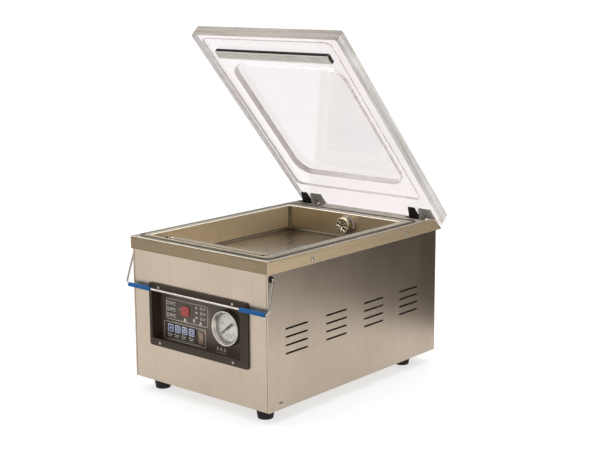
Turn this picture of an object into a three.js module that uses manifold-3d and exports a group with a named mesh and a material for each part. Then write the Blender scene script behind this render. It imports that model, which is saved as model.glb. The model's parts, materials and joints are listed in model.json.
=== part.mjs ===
// Table-top vacuum packing machine: a sheet-steel case with a drawn chamber, a hinged clear lid,
// a lifting seal bar, a wire bail handle and a recessed control panel.
// Units are millimetres, +X right, +Y to the back, +Z up. Lengths below are measured from the
// front panel (y = 0), the middle of the case (x = 0) and the table (z = 0).
import * as THREE from 'three';
import { mergeVertices } from 'three/addons/utils/BufferGeometryUtils.js';
import Module from 'manifold-3d';

const wasm = await Module();
wasm.setup();

// ---- driving dimensions ----
const GAP = 0.3; // air between neighbouring pieces
const CASE_HALF = 156; // half the case width
const CASE_DEPTH = 460;
const FOOT_HEIGHT = 22;
const SHEET = 1.2; // case sheet thickness
const CORNER_LIP = 2.8; // the side panels turn this far round onto the front
const CORNER_SEAM = 0.9;
const PANEL_TOP = 262; // panels run up inside the top cover
const REAR_PANEL_TOP = 256; // lower, under the cover's sloped back
const COVER_BOTTOM = 249;
const COVER_TOP = 271.5;
const COVER_OVERHANG = 2.3;
const COVER_SHEET = 1.5;
const COVER_BACK = 472;
const COVER_SLOPE_START = 445; // the flat top ends here and slopes down to the back

const CHAMBER_HALF = 131;
const CHAMBER_FRONT = 18;
const CHAMBER_BACK = 382;
const CHAMBER_FLOOR = 227.7;
const CHAMBER_WALL = 1.2;
const CHAMBER_CORNER = 5;
const CHAMBER_BOTTOM_RADIUS = 4;
const FLANGE_WIDTH = 14;

const GASKET_HALF = 149.8; // centre line of the gasket
const GASKET_FRONT = 8.2;
const GASKET_BACK = 409;
const GASKET_WIDTH = 4.6;
const GASKET_TOP = 272.4;

const HINGE_Y = 453.5;
const HINGE_Z = 268.5;
const HINGE_X = [-129, 129];
const HINGE_PIN_RADIUS = 2;
const LID_OPEN_ANGLE = THREE.MathUtils.degToRad(48.19);
const LID_HALF = 164.5;
const LID_FRONT = 5;
const LID_BACK = 472;
const LID_THICKNESS = 22;
const LID_UNDERSIDE = 272.7; // with the lid shut
const LID_STEP_DEPTH = 5;
const LID_DOME_DEPTH = 17;

const SEAL_HALF = 108; // half the seal bar's length
const PRESSURE_HALF = 128; // half the length of the bar on the lid
const SEAL_Y = 51; // middle of the seal bar
const SEAL_TOP = 266;
const LIFT_ROD_X = 80;
const LIFT_ROD_RADIUS = 4;

const PORT_X = 10;
const PORT_Z = 252;
const PORT_RADIUS = 15.5;

const BAIL_PIVOT_Y = 7;
const BAIL_PIVOT_Z = 241;
const BAIL_REACH_Y = -16; // from the pivot to the front bar
const BAIL_REACH_Z = -54;
const BAIL_HALF = 161; // at the pivots
const BAIL_BAR_HALF = 165; // at the front bar, where the arms have spread
const SLEEVE_X = [104, 158];
const BAIL_WIRE_RADIUS = 1.8;

const SLOT_GROUPS = 4;
const SLOT_ROWS = 4;
const SLOT_START = 41;
const SLOT_LENGTH = 55;
const SLOT_GROUP_PITCH = 102.3;
const SLOT_TOP_Z = 153.3;
const SLOT_ROW_PITCH = 13.8;
const SLOT_HEIGHT = 3.2;

const BEZEL = { x0: -115, x1: 115, z0: 86.8, z1: 196.8, proud: 3 };
const WINDOW = { x0: -108.8, x1: 97, z0: 99.5, z1: 183 };
const TRAY = { x0: -110.5, x1: 101, z0: 90, z1: 185, depth: 30, wall: 1.5 };
const PLATE_Y = 20; // the control plate lies this far behind the front panel
const KEY_TRAVEL = 0.8;
const GAUGE_X = 50;
const GAUGE_Z = 141;
const GAUGE_RADIUS = 30.3;

const ORIGIN_Y = 236.2; // the model's origin is this far behind the front panel

// ---- materials ----
const paint = (color, roughness, metalness, extra = {}) =>
  new THREE.MeshStandardMaterial({ color, roughness, metalness, ...extra });
const steel = paint(0xb9ac9b, 0.38, 0.9);
const chamberSteel = paint(0xa39474, 0.3, 0.9);
const brightSteel = paint(0xd4d2cc, 0.22, 1.0);
const aluminium = paint(0xb8b6b0, 0.45, 0.9);
const brass = paint(0xb08d4a, 0.35, 0.9);
const blackPlastic = paint(0x1c1916, 0.5, 0.0);
const blackRubber = paint(0x161616, 0.85, 0.0);
const platePlastic = paint(0x2a2521, 0.45, 0.0);
const acrylic = paint(0xeeeae6, 0.12, 0.0, { transparent: true, opacity: 0.3 });
const silicone = paint(0x8d8578, 0.7, 0.0);
const sealTape = paint(0xa89a80, 0.6, 0.0);
const bluePlastic = paint(0x2f6496, 0.4, 0.0);
const keyBlue = paint(0x4a5f9c, 0.45, 0.0);
const keyOrange = paint(0x9a6a48, 0.45, 0.0);
const displayRed = paint(0xb93238, 0.3, 0.0);
const dialWhite = paint(0xf0ece4, 0.5, 0.0);
const boardGreen = paint(0x2d5a3a, 0.6, 0.0);
const motorPaint = paint(0x4b5560, 0.55, 0.3);
const copper = paint(0xa5623a, 0.45, 0.8);

// ---- solids ----
function toSolid(geometry) {
  let clean = geometry.clone();
  clean.deleteAttribute('normal');
  clean.deleteAttribute('uv');
  clean = mergeVertices(clean, 1e-4);
  return new wasm.Manifold(new wasm.Mesh({
    numProp: 3,
    vertProperties: Float32Array.from(clean.attributes.position.array),
    triVerts: Uint32Array.from(clean.index.array),
  }));
}

function toGeometry(solid) {
  const mesh = solid.getMesh();
  const geometry = new THREE.BufferGeometry();
  geometry.setAttribute('position', new THREE.BufferAttribute(Float32Array.from(mesh.vertProperties), 3));
  geometry.setIndex(Array.from(mesh.triVerts));
  geometry.computeVertexNormals();
  return geometry;
}

// base less every tool
function cut(base, ...tools) {
  let solid = toSolid(base);
  for (const tool of tools) solid = solid.subtract(toSolid(tool));
  return toGeometry(solid);
}

function join(base, ...others) {
  let solid = toSolid(base);
  for (const other of others) solid = solid.add(toSolid(other));
  return toGeometry(solid);
}

// a box between two corners
function block(x0, x1, y0, y1, z0, z1) {
  return new THREE.BoxGeometry(x1 - x0, y1 - y0, z1 - z0)
    .translate((x0 + x1) / 2, (y0 + y1) / 2, (z0 + z1) / 2);
}

// a cylinder along X, Y or Z from one coordinate to another, with its axis through (a, b)
function rod(axis, from, to, a, b, radius, sides = 20, endRadius = radius) {
  const geometry = new THREE.CylinderGeometry(endRadius, radius, to - from, sides);
  const middle = (from + to) / 2;
  if (axis === 'x') return geometry.rotateZ(-Math.PI / 2).translate(middle, a, b);
  if (axis === 'y') return geometry.translate(a, middle, b);
  return geometry.rotateX(Math.PI / 2).translate(a, b, middle);
}

function roundedRectangle(x0, x1, y0, y1, radius) {
  const shape = new THREE.Shape();
  shape.moveTo(x0 + radius, y0);
  shape.lineTo(x1 - radius, y0);
  shape.absarc(x1 - radius, y0 + radius, radius, -Math.PI / 2, 0);
  shape.lineTo(x1, y1 - radius);
  shape.absarc(x1 - radius, y1 - radius, radius, 0, Math.PI / 2);
  shape.lineTo(x0 + radius, y1);
  shape.absarc(x0 + radius, y1 - radius, radius, Math.PI / 2, Math.PI);
  shape.lineTo(x0, y0 + radius);
  shape.absarc(x0 + radius, y0 + radius, radius, Math.PI, 1.5 * Math.PI);
  return shape;
}

// the same outline as a list of points, always the same number of them
function roundedOutline(x0, x1, y0, y1, radius, segments) {
  const centres = [[x1 - radius, y0 + radius], [x1 - radius, y1 - radius], [x0 + radius, y1 - radius],
    [x0 + radius, y0 + radius]];
  return centres.flatMap(([x, y], corner) => {
    const points = [];
    for (let i = 0; i <= segments; i++) {
      const angle = (corner - 1 + i / segments) * (Math.PI / 2);
      points.push([x + radius * Math.cos(angle), y + radius * Math.sin(angle)]);
    }
    return points;
  });
}

// a rounded rectangle in plan, between two heights
function slab(x0, x1, y0, y1, z0, z1, radius, curveSegments = 5) {
  return new THREE.ExtrudeGeometry(roundedRectangle(x0, x1, y0, y1, radius),
    { depth: z1 - z0, bevelEnabled: false, curveSegments }).translate(0, 0, z0);
}

// a rounded rectangle seen from the front, between two depths
function frontSlab(x0, x1, z0, z1, y0, y1, radius, curveSegments = 4) {
  return new THREE.ExtrudeGeometry(roundedRectangle(x0, x1, z0, z1, radius),
    { depth: y1 - y0, bevelEnabled: false, curveSegments }).rotateX(Math.PI / 2).translate(0, y1, 0);
}

// an outline in (y, z) carried along X
function sideProfile(points, x0, x1) {
  const shape = new THREE.Shape(points.map(([y, z]) => new THREE.Vector2(y, z)));
  const geometry = new THREE.ExtrudeGeometry(shape, { depth: x1 - x0, bevelEnabled: false, curveSegments: 6 });
  const axes = new THREE.Matrix4().makeBasis(
    new THREE.Vector3(0, 1, 0), new THREE.Vector3(0, 0, 1), new THREE.Vector3(1, 0, 0));
  return geometry.applyMatrix4(axes).translate(x0, 0, 0);
}

// a profile of [radius, along] turned about the Y axis through (x, z); along grows to the back
function turnedY(profile, x, z, segments = 28) {
  return new THREE.LatheGeometry(profile.map(([r, y]) => new THREE.Vector2(r, y)), segments)
    .translate(x, 0, z);
}

function turnedZ(profile, x, y, segments = 24) {
  return new THREE.LatheGeometry(profile.map(([r, z]) => new THREE.Vector2(r, z)), segments)
    .rotateX(Math.PI / 2).translate(x, y, 0);
}

// a round bar of the given radius along a curve
function bar(curve, radius, steps, sides = 8) {
  const section = new THREE.Shape();
  for (let i = 0; i < sides; i++) {
    const angle = (i / sides) * 2 * Math.PI;
    const x = radius * Math.cos(angle);
    const y = radius * Math.sin(angle);
    if (i === 0) section.moveTo(x, y);
    else section.lineTo(x, y);
  }
  return new THREE.ExtrudeGeometry(section, { steps, bevelEnabled: false, extrudePath: curve });
}

// straight runs between corners, each inner corner rounded to its own radius
function roundedPath(corners, radii, cornerPoints = 5) {
  const points = [corners[0].clone()];
  for (let i = 1; i < corners.length - 1; i++) {
    const before = corners[i - 1].clone().sub(corners[i]).normalize();
    const after = corners[i + 1].clone().sub(corners[i]).normalize();
    const reach = radii[i - 1] / Math.tan(before.angleTo(after) / 2);
    const start = corners[i].clone().addScaledVector(before, reach);
    const end = corners[i].clone().addScaledVector(after, reach);
    const arc = new THREE.QuadraticBezierCurve3(start, corners[i], end);
    points.push(...arc.getPoints(cornerPoints));
  }
  points.push(corners[corners.length - 1].clone());
  return points;
}

// a polyline whose parameter falls exactly on its own points
class PointPath extends THREE.Curve {
  constructor(points) {
    super();
    this.points = points;
  }

  getPoint(t) {
    const place = Math.min(t, 1) * (this.points.length - 1);
    const i = Math.min(Math.floor(place), this.points.length - 2);
    return this.points[i].clone().lerp(this.points[i + 1], place - i);
  }

  getPointAt(u) {
    return this.getPoint(u);
  }

  getTangentAt(u) {
    const n = this.points.length - 1;
    const i = Math.round(u * n);
    const from = this.points[Math.max(i - 1, 0)];
    const to = this.points[Math.min(i + 1, n)];
    return to.clone().sub(from).normalize();
  }
}

const machine = new THREE.Group();
machine.position.y = -ORIGIN_Y;

function add(name, geometry, material, parent = machine) {
  const mesh = new THREE.Mesh(geometry, material);
  mesh.name = name;
  parent.add(mesh);
}

const SIDES = [['left', -1], ['right', 1]];

// ---- case ----
function slotTools(side) {
  const tools = [];
  for (let group = 0; group < SLOT_GROUPS; group++) {
    for (let row = 0; row < SLOT_ROWS; row++) {
      const y = SLOT_START + group * SLOT_GROUP_PITCH;
      const z = SLOT_TOP_Z - row * SLOT_ROW_PITCH;
      const outline = roundedOutline(y, y + SLOT_LENGTH, z - SLOT_HEIGHT / 2, z + SLOT_HEIGHT / 2,
        SLOT_HEIGHT / 2 - 0.02, 2);
      const middle = side * (CASE_HALF - SHEET / 2);
      tools.push(sideProfile(outline, middle - 2, middle + 2));
    }
  }
  return tools;
}

function makeCase() {
  const flangeHeight = 16;
  const half = CASE_HALF - SHEET - GAP;
  const base = cut(
    block(-half, half, SHEET + GAP, CASE_DEPTH - SHEET - GAP, FOOT_HEIGHT, FOOT_HEIGHT + flangeHeight),
    block(-half + SHEET, half - SHEET, 2 * SHEET + GAP, CASE_DEPTH - 2 * SHEET - GAP,
      FOOT_HEIGHT + SHEET, FOOT_HEIGHT + flangeHeight + 1));
  add('base_tray', base, steel);

  const tray = TRAY;
  const opening = block(tray.x0 - tray.wall - GAP, tray.x1 + tray.wall + GAP, -1, SHEET + 1,
    tray.z0 - tray.wall - GAP, tray.z1 + tray.wall + GAP);
  const frontHalf = CASE_HALF - CORNER_LIP - CORNER_SEAM;
  add('front_panel', cut(block(-frontHalf, frontHalf, 0, SHEET, FOOT_HEIGHT, PANEL_TOP), opening), steel);

  for (const [word, side] of SIDES) {
    const outer = side * CASE_HALF;
    const inner = side * (CASE_HALF - SHEET);
    const lip = side * (CASE_HALF - CORNER_LIP);
    const sheet = join(
      block(Math.min(outer, inner), Math.max(outer, inner), 0, CASE_DEPTH - SHEET - GAP,
        FOOT_HEIGHT, PANEL_TOP),
      block(Math.min(outer, lip), Math.max(outer, lip), 0, SHEET, FOOT_HEIGHT, PANEL_TOP));
    const pivotHole = rod('x', side * CASE_HALF - 3, side * CASE_HALF + 3,
      BAIL_PIVOT_Y, BAIL_PIVOT_Z, 4.1);
    add(`side_panel_${word}`, cut(sheet, pivotHole, ...slotTools(side)), steel);
  }

  const inletHole = block(-114.5, -85.5, CASE_DEPTH - 3, CASE_DEPTH + 1, 45.5, 66.5);
  add('rear_panel', cut(
    block(-CASE_HALF, CASE_HALF, CASE_DEPTH - SHEET, CASE_DEPTH, FOOT_HEIGHT, REAR_PANEL_TOP),
    inletHole), steel);
  const inlet = cut(
    join(block(-114, -86, CASE_DEPTH - 22, CASE_DEPTH + 1, 46, 66),
      block(-118, -82, CASE_DEPTH + GAP, CASE_DEPTH + 3, 42, 70)),
    block(-111, -89, CASE_DEPTH - 16, CASE_DEPTH + 4, 49, 63));
  const pins = [-106, -100, -94].map((x) => rod('y', CASE_DEPTH - 17, CASE_DEPTH - 3, x, 56, 1.4, 10));
  add('power_inlet', join(inlet, ...pins), blackPlastic);

  const footPlaces = [['front', 30], ['rear', 406]];
  for (const [end, y] of footPlaces) {
    for (const [word, side] of SIDES) {
      const foot = turnedZ([[0, 0], [12, 0], [13, 1], [16.5, FOOT_HEIGHT - GAP], [0, FOOT_HEIGHT - GAP]],
        side * 121, y);
      add(`foot_${end}_${word}`, foot, blackRubber);
    }
  }
}

// ---- top cover ----
function makeTopCover() {
  const front = -COVER_OVERHANG;
  const outer = [
    [front, COVER_BOTTOM], [COVER_BACK, COVER_BOTTOM], [COVER_BACK, 252.5], [456, 266.5],
    [COVER_SLOPE_START, COVER_TOP], [front + 2.4, COVER_TOP], [front + 0.7, COVER_TOP - 0.7],
    [front, COVER_TOP - 2.4],
  ];
  const t = COVER_SHEET;
  const inner = [
    [front + t, COVER_BOTTOM - 1], [COVER_BACK - t, COVER_BOTTOM - 1], [COVER_BACK - t, 251.9],
    [455.2, 265.2], [COVER_SLOPE_START - 0.4, COVER_TOP - t], [front + 2.4, COVER_TOP - t],
    [front + t, COVER_TOP - 2.4],
  ];
  const half = CASE_HALF + COVER_OVERHANG;
  const clear = CHAMBER_WALL + GAP;
  const opening = slab(-CHAMBER_HALF - clear, CHAMBER_HALF + clear, CHAMBER_FRONT - clear,
    CHAMBER_BACK + clear, COVER_TOP - 5, COVER_TOP + 5, CHAMBER_CORNER + clear);
  const hingeSlots = HINGE_X.map((x) => block(x - 24, x + 27, 427.7, 461, COVER_BOTTOM + 4, COVER_TOP + 5));
  add('top_cover', cut(sideProfile(outer, -half, half), sideProfile(inner, -half + t, half - t),
    opening, ...hingeSlots), steel);
}

// ---- vacuum chamber ----
// closed solid through rings of points, each ring one height
function stack(rings) {
  const count = rings[0].length;
  const positions = [];
  const index = [];
  for (const ring of rings) for (const point of ring) positions.push(...point);
  for (let level = 0; level < rings.length - 1; level++) {
    for (let i = 0; i < count; i++) {
      const a = level * count + i;
      const b = level * count + ((i + 1) % count);
      index.push(a, b, b + count, a, b + count, a + count);
    }
  }
  const cap = (level, flip) => {
    const ring = rings[level];
    const middle = positions.length / 3;
    const mean = [0, 1, 2].map((axis) => ring.reduce((sum, p) => sum + p[axis], 0) / count);
    positions.push(...mean);
    for (let i = 0; i < count; i++) {
      const a = level * count + i;
      const b = level * count + ((i + 1) % count);
      index.push(middle, flip ? b : a, flip ? a : b);
    }
  };
  cap(0, true);
  cap(rings.length - 1, false);
  const geometry = new THREE.BufferGeometry();
  geometry.setAttribute('position', new THREE.Float32BufferAttribute(positions, 3));
  geometry.setIndex(index);
  geometry.computeVertexNormals();
  return geometry;
}

// a basin's body: upright walls with a rounded edge around the bottom
function basin(grow, bottom, top, bottomRadius) {
  const ring = (inset, z) => roundedOutline(-CHAMBER_HALF - grow + inset, CHAMBER_HALF + grow - inset,
    CHAMBER_FRONT - grow + inset, CHAMBER_BACK + grow - inset,
    CHAMBER_CORNER + grow - inset, 4).map(([x, y]) => [x, y, z]);
  const rings = [];
  const steps = 4;
  for (let i = 0; i <= steps; i++) {
    const angle = (i / steps) * (Math.PI / 2);
    rings.push(ring(bottomRadius * (1 - Math.sin(angle)), bottom + bottomRadius * (1 - Math.cos(angle))));
  }
  rings.push(ring(0, top));
  return stack(rings);
}

function makeChamber() {
  const top = COVER_TOP + GAP + 1.2;
  const w = CHAMBER_WALL;
  const body = basin(w, CHAMBER_FLOOR - w, COVER_TOP + 0.5, CHAMBER_BOTTOM_RADIUS + w);
  const flange = slab(-CHAMBER_HALF - FLANGE_WIDTH, CHAMBER_HALF + FLANGE_WIDTH,
    CHAMBER_FRONT - 4, CHAMBER_BACK + FLANGE_WIDTH + 4, COVER_TOP + GAP, top, 12);
  const hollow = basin(0, CHAMBER_FLOOR, top + 3, CHAMBER_BOTTOM_RADIUS);
  const rodHoles = [-LIFT_ROD_X, LIFT_ROD_X].map((x) =>
    rod('z', CHAMBER_FLOOR - 5, CHAMBER_FLOOR + 5, x, SEAL_Y, LIFT_ROD_RADIUS + 0.5));
  const portHole = rod('y', CHAMBER_BACK - 5, CHAMBER_BACK + 5, PORT_X, PORT_Z, 8);
  add('chamber', cut(join(body, flange), hollow, ...rodHoles, portHole), chamberSteel);

  const h = GASKET_WIDTH / 2;
  const loop = (grow, z0, z1) => slab(-GASKET_HALF - grow, GASKET_HALF + grow, GASKET_FRONT - grow,
    GASKET_BACK + grow, z0, z1, 13 + grow);
  add('chamber_gasket', cut(loop(h, COVER_TOP + GAP / 2, GASKET_TOP),
    loop(-h, COVER_TOP - 2, GASKET_TOP + 2)), blackRubber);
}

// ---- vacuum port on the chamber's back wall ----
function makePort() {
  const wall = CHAMBER_BACK;
  const flangeRadius = PORT_RADIUS + 2.6;
  add('port_flange', turnedY([[8.5, wall - 2.3], [flangeRadius, wall - 2.3], [flangeRadius, wall - GAP],
    [8.5, wall - GAP], [8.5, wall - 2.3]], PORT_X, PORT_Z, 24), brightSteel);
  const face = wall - 16;
  const cup = turnedY([[0, face], [PORT_RADIUS - 1.5, face], [PORT_RADIUS, face + 1.5],
    [PORT_RADIUS, wall - 2.6], [PORT_RADIUS - 1.4, wall - 2.6], [PORT_RADIUS - 1.4, face + 1.6],
    [0, face + 1.6]], PORT_X, PORT_Z, 24);
  const holes = [];
  const rows = [[1, 0, 0], [5, 4.8, 0.3], [9, 9.6, 0]];
  for (const [count, radius, turn] of rows) {
    for (let i = 0; i < count; i++) {
      const angle = turn + (i / count) * 2 * Math.PI;
      holes.push(rod('y', face - 1, face + 3, PORT_X + radius * Math.cos(angle),
        PORT_Z + radius * Math.sin(angle), 1.2, 8));
    }
  }
  add('port_cap', cut(cup, ...holes), brightSteel);
}

// ---- seal bar on its two lift rods ----
function makeSealBar() {
  const y = SEAL_Y;
  const half = SEAL_HALF;
  add('seal_bar', block(-half, half, y - 6, y + 6, SEAL_TOP - 20, SEAL_TOP - 3.6), aluminium);
  add('seal_bar_pad', block(-half + 2, half - 2, y - 4.6, y + 4.6, SEAL_TOP - 3.3, SEAL_TOP - 2.1), silicone);
  add('heating_element', block(-half + 1, half - 1, y - 3.6, y + 3.6, SEAL_TOP - 1.8, SEAL_TOP - 0.9), brass);
  add('seal_tape', cut(block(-half + 0.5, half - 0.5, y - 7, y + 7, SEAL_TOP - 12, SEAL_TOP),
    block(-half - 1, half + 1, y - 6.4, y + 6.4, SEAL_TOP - 13, SEAL_TOP - 0.6)), sealTape);
  for (const [word, side] of SIDES) {
    const near = half + GAP;
    const far = half + 6.5;
    const x0 = side > 0 ? near : -far;
    const post = rod('z', SEAL_TOP - 3, SEAL_TOP + 2.5, side * (near + 3.1), y - 13, 2.9, 14);
    add(`seal_terminal_${word}`, join(block(x0, x0 + far - near, y - 16.5, y + 8, SEAL_TOP - 12, SEAL_TOP - 2),
      post), blackPlastic);
    const x = side * LIFT_ROD_X;
    add(`lift_rod_${word}`, rod('z', 198, SEAL_TOP - 20 - GAP, x, y, LIFT_ROD_RADIUS, 18), brightSteel);
    const bore = LIFT_ROD_RADIUS + 0.5;
    const cylinderTop = CHAMBER_FLOOR - CHAMBER_WALL - GAP;
    add(`lift_cylinder_${word}`, turnedZ([[0, 184], [12, 184], [12, cylinderTop - 3], [16, cylinderTop - 3],
      [16, cylinderTop], [bore, cylinderTop], [bore, 190], [0, 190]], x, y), aluminium);
  }
}

// ---- lid, built shut around the hinge axis and then turned open ----
const lidGroup = new THREE.Group();
lidGroup.position.set(0, HINGE_Y, HINGE_Z);
lidGroup.rotation.x = -LID_OPEN_ANGLE;
machine.add(lidGroup);

// from the case's coordinates to the lid group's
const onLid = (geometry) => geometry.translate(0, -HINGE_Y, -HINGE_Z);

const LEAF = { x0: 0, x1: 25, y0: 430, y1: 459.5 };

function makeLid() {
  const under = LID_UNDERSIDE;
  const body = slab(-LID_HALF, LID_HALF, LID_FRONT, LID_BACK, under, under + LID_THICKNESS, 4, 3);
  const step = slab(-147, 147, 13.5, 405, under - 2, under + LID_STEP_DEPTH, 12);
  const dome = slab(-126, 126, 82, 374, under - 2, under + LID_DOME_DEPTH, 32, 7);
  const pockets = HINGE_X.map((x) => block(x + LEAF.x0 - 1.6, x + LEAF.x1 + 0.6,
    LEAF.y0 - 0.6, LEAF.y1 + 0.6, under - 2, under + 3.1));
  add('lid', onLid(cut(body, step, dome, ...pockets)), acrylic, lidGroup);

  const barTop = under + LID_STEP_DEPTH - GAP;
  const barBottom = under - 1.8;
  const half = PRESSURE_HALF;
  const pressure = cut(block(-half, half, SEAL_Y - 9, SEAL_Y + 9, barBottom, barTop),
    block(-half - 1, half + 1, SEAL_Y - 4.8, SEAL_Y + 4.8, barBottom - 1, barBottom + 2));
  add('pressure_bar', onLid(pressure), aluminium, lidGroup);
  add('pressure_pad', onLid(block(-half + 1, half - 1, SEAL_Y - 4.5, SEAL_Y + 4.5,
    under - 2.9, barBottom + 1.7)), silicone, lidGroup);
}

// ---- hinges ----
function makeHinges() {
  const under = LID_UNDERSIDE - HINGE_Z;
  const names = ['left', 'right'];
  HINGE_X.forEach((x, i) => {
    const earOutline = [[-23.5, under + 0.6], [-23.5, 2.2], [-5.5, -4.2], [-3, -5.6], [0, -6.2], [3, -5.6],
      [5.4, -3], [6, 0], [6, under + 0.6]];
    const ear = sideProfile(earOutline, x - 1, x + 2);
    const leaf = block(x - 1, x + LEAF.x1, LEAF.y0 - HINGE_Y, LEAF.y1 - HINGE_Y, under + 0.3, under + 2.8);
    const hole = rod('x', x - 3, x + 4, 0, 0, HINGE_PIN_RADIUS + 0.3, 16);
    add(`hinge_arm_${names[i]}`, cut(join(leaf, ear), hole), brightSteel, lidGroup);

    const blockOutline = [[-25, under - GAP], [-25, 1.5], [-8, -6.5], [3, -6.5], [6.5, -1],
      [6.5, under - GAP]];
    add(`hinge_stop_${names[i]}`, sideProfile(blockOutline, x - 22, x - 7.5), blackRubber, lidGroup);

    const cheek = (x0, x1) => join(rod('x', x0, x1, HINGE_Y, HINGE_Z, 3.4, 16),
      block(x0, x1, HINGE_Y - 3.4, HINGE_Y + 3.4, 240, HINGE_Z));
    const foot = block(x - 3.9, x + 4.9, HINGE_Y - 12, HINGE_Y + 3.4, 240, 242.5);
    const bracketHole = rod('x', x - 6, x + 7, HINGE_Y, HINGE_Z, HINGE_PIN_RADIUS + 0.3, 16);
    add(`hinge_bracket_${names[i]}`, cut(join(cheek(x - 3.9, x - 1.4), cheek(x + 2.4, x + 4.9), foot),
      bracketHole), steel);
    const r = HINGE_PIN_RADIUS;
    const pin = new THREE.LatheGeometry([[0, -5.4], [3, -5.4], [3, -4.3], [r, -4.3], [r, 5.3], [3, 5.3],
      [3, 6.4], [0, 6.4]].map(([a, b]) => new THREE.Vector2(a, b)), 16);
    add(`hinge_pin_${names[i]}`, pin.rotateZ(-Math.PI / 2).translate(x, HINGE_Y, HINGE_Z), brightSteel);
  });
}

// ---- bail handle ----
function makeBail() {
  const low = new THREE.Vector3(0, BAIL_PIVOT_Y + BAIL_REACH_Y, BAIL_PIVOT_Z + BAIL_REACH_Z);
  const high = new THREE.Vector3(0, BAIL_PIVOT_Y, BAIL_PIVOT_Z);
  const at = (x, p) => new THREE.Vector3(x, p.y, p.z);
  const corners = [at(-149, high), at(-BAIL_HALF, high), at(-BAIL_BAR_HALF, low), at(BAIL_BAR_HALF, low),
    at(BAIL_HALF, high), at(149, high)];
  const path = new PointPath(roundedPath(corners, [3, 8, 8, 3]));
  add('bail_wire', bar(path, BAIL_WIRE_RADIUS, path.points.length - 1), brightSteel);
  for (const [word, side] of SIDES) {
    const [near, far] = SLEEVE_X;
    const sleeve = new THREE.LatheGeometry([[2.2, near], [3.6, near], [4, near + 1], [4, far - 1],
      [3.6, far], [2.2, far], [2.2, near]].map(([r, a]) => new THREE.Vector2(r, a)), 16);
    sleeve.rotateZ(-Math.PI / 2);
    if (side < 0) sleeve.rotateZ(Math.PI);
    add(`bail_sleeve_${word}`, sleeve.translate(0, low.y, low.z), bluePlastic);
    const grommet = new THREE.LatheGeometry([[2.3, 152.5], [3.7, 152.5], [3.7, 156.4], [5.4, 156.4],
      [5, 157.7], [2.3, 157.7], [2.3, 152.5]].map(([r, a]) => new THREE.Vector2(r, a)), 18);
    grommet.rotateZ(-Math.PI / 2);
    if (side < 0) grommet.rotateZ(Math.PI);
    add(`bail_grommet_${word}`, grommet.translate(0, high.y, high.z), blackRubber);
  }
}

// ---- control panel ----
function makeControls() {
  const b = BEZEL;
  const t = TRAY;
  const frame = frontSlab(b.x0, b.x1, b.z0, b.z1, -b.proud, -GAP, 4);
  const sleeve = block(t.x0 - t.wall, t.x1 + t.wall, -1, t.depth, t.z0 - t.wall, t.z1 + t.wall);
  const inside = block(t.x0, t.x1, -GAP, t.depth + 1, t.z0, t.z1);
  const window = block(WINDOW.x0, WINDOW.x1, -b.proud - 1, 1, WINDOW.z0, WINDOW.z1);
  add('control_bezel', cut(join(frame, sleeve), inside, window), blackPlastic);

  const plate = block(t.x0 + GAP, t.x1 - GAP, PLATE_Y, PLATE_Y + 2, t.z0 + GAP, t.z1 - GAP);
  const gaugeHole = rod('y', PLATE_Y - 1, PLATE_Y + 3, GAUGE_X, GAUGE_Z, GAUGE_RADIUS - 2);
  const keyX = [-84.5, -67.7, -50.9, -34.1];
  const keyZ = 117;
  const stems = keyX.map((x) => rod('y', PLATE_Y - 1, PLATE_Y + 3, x, keyZ, 2.6, 12));
  const setKey = { x: -12, z: 112.5 };
  const setStem = rod('y', PLATE_Y - 1, PLATE_Y + 3, setKey.x, setKey.z, 2.6, 12);
  add('control_plate', cut(plate, gaugeHole, ...stems, setStem), platePlastic);

  const front = PLATE_Y - GAP;
  add('display_window', frontSlab(-60, -41, 142.5, 160, front - 1.5, front, 3), displayRed);
  const cap = (x, z, w, h, material, name) => {
    const face = front - KEY_TRAVEL - 1.6;
    add(name, join(frontSlab(x - w / 2, x + w / 2, z - h / 2, z + h / 2, face, front - KEY_TRAVEL, 2, 3),
      rod('y', face + 0.5, PLATE_Y + 6, x, z, 2.2, 12)), material);
  };
  keyX.forEach((x, i) => cap(x, keyZ, 13.6, 13.6, keyBlue, `key_${i + 1}`));
  cap(setKey.x, setKey.z, 11, 17, keyOrange, 'set_key');

  const y = 10;
  const R = GAUGE_RADIUS;
  add('gauge_case', turnedY([[R - 2.6, y], [R - 0.8, y], [R, y + 1], [R, front], [R - 2.4, front],
    [R - 2.4, 44], [0, 44], [0, 41], [R - 6.3, 41], [R - 6.3, y + 5.4], [R - 2.6, y]],
  GAUGE_X, GAUGE_Z, 32), brightSteel);
  const faceRadius = R - 6.6;
  add('gauge_dial', rod('y', y + 11, y + 12, GAUGE_X, GAUGE_Z, faceRadius, 32), dialWhite);
  add('gauge_glass', rod('y', y + 5.8, y + 7, GAUGE_X, GAUGE_Z, faceRadius, 32), acrylic);
  const needle = join(rod('y', y + 8.4, y + 10.6, 0, 0, 2.6, 14),
    block(-19, 8, y + 9, y + 10, -0.7, 0.7));
  needle.rotateY(THREE.MathUtils.degToRad(-39));
  add('gauge_needle', needle.translate(GAUGE_X, 0, GAUGE_Z), blackPlastic);
}

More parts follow.
